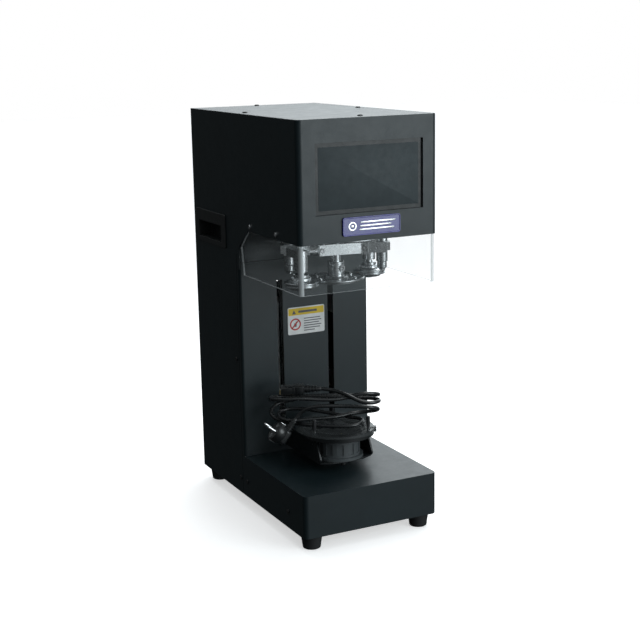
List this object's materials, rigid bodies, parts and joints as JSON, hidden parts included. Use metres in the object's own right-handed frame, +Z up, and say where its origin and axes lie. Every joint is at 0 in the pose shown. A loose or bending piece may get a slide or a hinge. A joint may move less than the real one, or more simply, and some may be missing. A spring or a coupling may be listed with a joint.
{
  "type": "cup sealing machine",
  "caption": "Desktop can and cup seaming machine with a touch display, clear guard, revolving seaming arms and a motor lifted can tray.",
  "frame": {"origin": "middle of the footprint on the plane that the rubber feet stand on", "axes": "+Z up, the display and the can bay face -Y, +X to the right seen from the front"},
  "size_m": [0.2642, 0.463, 0.7301],
  "materials": {
    "black_powder_coat": "fine textured satin powder coat",
    "cover_powder_coat": "fine textured satin powder coat",
    "zinc_steel": "zinc plated sheet steel",
    "machined_aluminium": "machined satin aluminium",
    "turned_steel": "turned stainless steel, fine rings",
    "polished_screw": "bright nickel plated",
    "black_screw": "black oxide",
    "black_rubber": "moulded rubber, matt",
    "black_plastic": "moulded black plastic, fine grain",
    "black_gloss_paint": "smooth semi gloss black paint",
    "lead_pvc": "glossy black PVC",
    "display_glass": "glossy tinted touch panel, opaque",
    "clear_acrylic": "clear acrylic with polished edges",
    "badge_enamel": "blue enamel with a bright rim",
    "label_print": "printed polyester label",
    "belt_rubber": "ribbed belt rubber",
    "board_green": "solder mask green",
    "motor_black": "black enamel",
    "brass": "turned brass",
    "drum_grey": "grey moulded polymer"
  },
  "bodies": {
    "cabinet": {"outer_shell": "black_powder_coat", "top_cover": "cover_powder_coat", "rear_cover": "black_powder_coat", "column_cover": "black_powder_coat", "throat_plate": "cover_powder_coat", "base_cover": "cover_powder_coat", "bottom_plate": "black_powder_coat", "frame_sides": "zinc_steel", "head_floor": "cover_powder_coat", "head_plate": "zinc_steel", "feet": "black_rubber", "handle_left": "black_plastic", "handle_right": "black_plastic", "acrylic_guard": "clear_acrylic", "silver_screws": "polished_screw", "black_screws": "black_screw", "display_housing": "black_plastic", "display_glass": "display_glass", "badge_plate": "badge_enamel", "info_label": "label_print", "power_inlet": "black_plastic", "switch_housing": "black_plastic", "fan_frame": "black_plastic", "control_board": "board_green", "power_supply": "zinc_steel", "turret_motor": "motor_black", "drive_belts": "belt_rubber", "spindle_housing": "machined_aluminium", "spindle_bearings": "turned_steel", "chuck_shaft": "turned_steel", "seaming_chuck": "turned_steel", "lift_motor": "motor_black", "guide_rods": "turned_steel"},
    "switch_rocker": {"power_rocker": "black_plastic"},
    "fan_wheel": {"fan_rotor": "black_plastic"},
    "motor_drive": {"motor_pulley": "machined_aluminium"},
    "turret_body": {"turret": "machined_aluminium", "turret_pulley": "machined_aluminium", "pivot_posts": "turned_steel"},
    "cam_body": {"seaming_cam": "turned_steel", "cam_pulley": "machined_aluminium"},
    "arm_right": {"right_arm": "machined_aluminium"},
    "arm_left": {"left_arm": "machined_aluminium"},
    "roller_right": {"right_roller": "turned_steel"},
    "roller_left": {"left_roller": "turned_steel"},
    "screw_body": {"lead_screw": "turned_steel"},
    "lift": {"lift_carriage": "machined_aluminium", "lead_nut": "brass", "linear_bearings": "turned_steel", "lift_fork": "black_gloss_paint", "bump_stop": "black_rubber", "cushion_spring": "turned_steel", "tray_drum": "drum_grey"},
    "can_rest": {"tray_plate": "black_gloss_paint", "tray_disc": "clear_acrylic", "locator_pins": "black_screw", "lead_connector": "lead_pvc", "lead_hank": "lead_pvc", "lead_tube": "lead_pvc", "lead_plug": "lead_pvc"}
  },
  "joints": [
    {"name": "tray_lift", "type": "slide", "parent": "cabinet", "child": "lift", "axis": [0, 0, 1], "range_m": [0, 0.18]},
    {"name": "tray_cushion", "type": "slide", "parent": "lift", "child": "can_rest", "axis": [0, 0, 1], "range_m": [-0.003, 0], "stiffness_N_per_m": 9000, "springref_m": 0.004, "deforming": ["cushion_spring"]},
    {"name": "lead_screw_spin", "type": "hinge", "parent": "cabinet", "child": "screw_body", "pos_m": [0, 0.12, 0.3], "axis": [0, 0, 1], "continuous": true},
    {"name": "turret_spin", "type": "hinge", "parent": "cabinet", "child": "turret_body", "pos_m": [0, -0.105, 0.53], "axis": [0, 0, 1], "continuous": true},
    {"name": "motor_spin", "type": "hinge", "parent": "cabinet", "child": "motor_drive", "pos_m": [0, 0.1, 0.65], "axis": [0, 0, 1], "continuous": true},
    {"name": "cam_turn", "type": "hinge", "parent": "turret_body", "child": "cam_body", "pos_m": [0, -0.105, 0.6], "axis": [0, 0, 1], "range_deg": [0, 60]},
    {"name": "right_arm_swing", "type": "hinge", "parent": "turret_body", "child": "arm_right", "pos_m": [0.0769, -0.13233, 0.4975], "axis": [0, 0, 1], "range_deg": [0, 4]},
    {"name": "left_arm_swing", "type": "hinge", "parent": "turret_body", "child": "arm_left", "pos_m": [-0.0769, -0.07767, 0.4975], "axis": [0, 0, 1], "range_deg": [0, 4]},
    {"name": "right_roller_spin", "type": "hinge", "parent": "arm_right", "child": "roller_right", "pos_m": [0.07962, -0.08001, 0.445], "axis": [0, 0, 1], "continuous": true},
    {"name": "left_roller_spin", "type": "hinge", "parent": "arm_left", "child": "roller_left", "pos_m": [-0.07962, -0.12999, 0.445], "axis": [0, 0, 1], "continuous": true},
    {"name": "fan_spin", "type": "hinge", "parent": "cabinet", "child": "fan_wheel", "pos_m": [0, 0.21, 0.64], "axis": [0, 1, 0], "continuous": true},
    {"name": "power_switch", "type": "hinge", "parent": "cabinet", "child": "switch_rocker", "pos_m": [-0.014, 0.2235, 0.092], "axis": [0, 0, 1], "range_deg": [-18, 0]}
  ],
  "couplings": [
    {"joint": "lead_screw_spin", "follows": "tray_lift", "rad_per_m": 628.32},
    {"joint": "motor_spin", "follows": "turret_spin", "ratio": 2.0455},
    {"joint": "right_arm_swing", "follows": "cam_turn", "ratio": 0.0666},
    {"joint": "left_arm_swing", "follows": "cam_turn", "ratio": 0.0666}
  ]
}
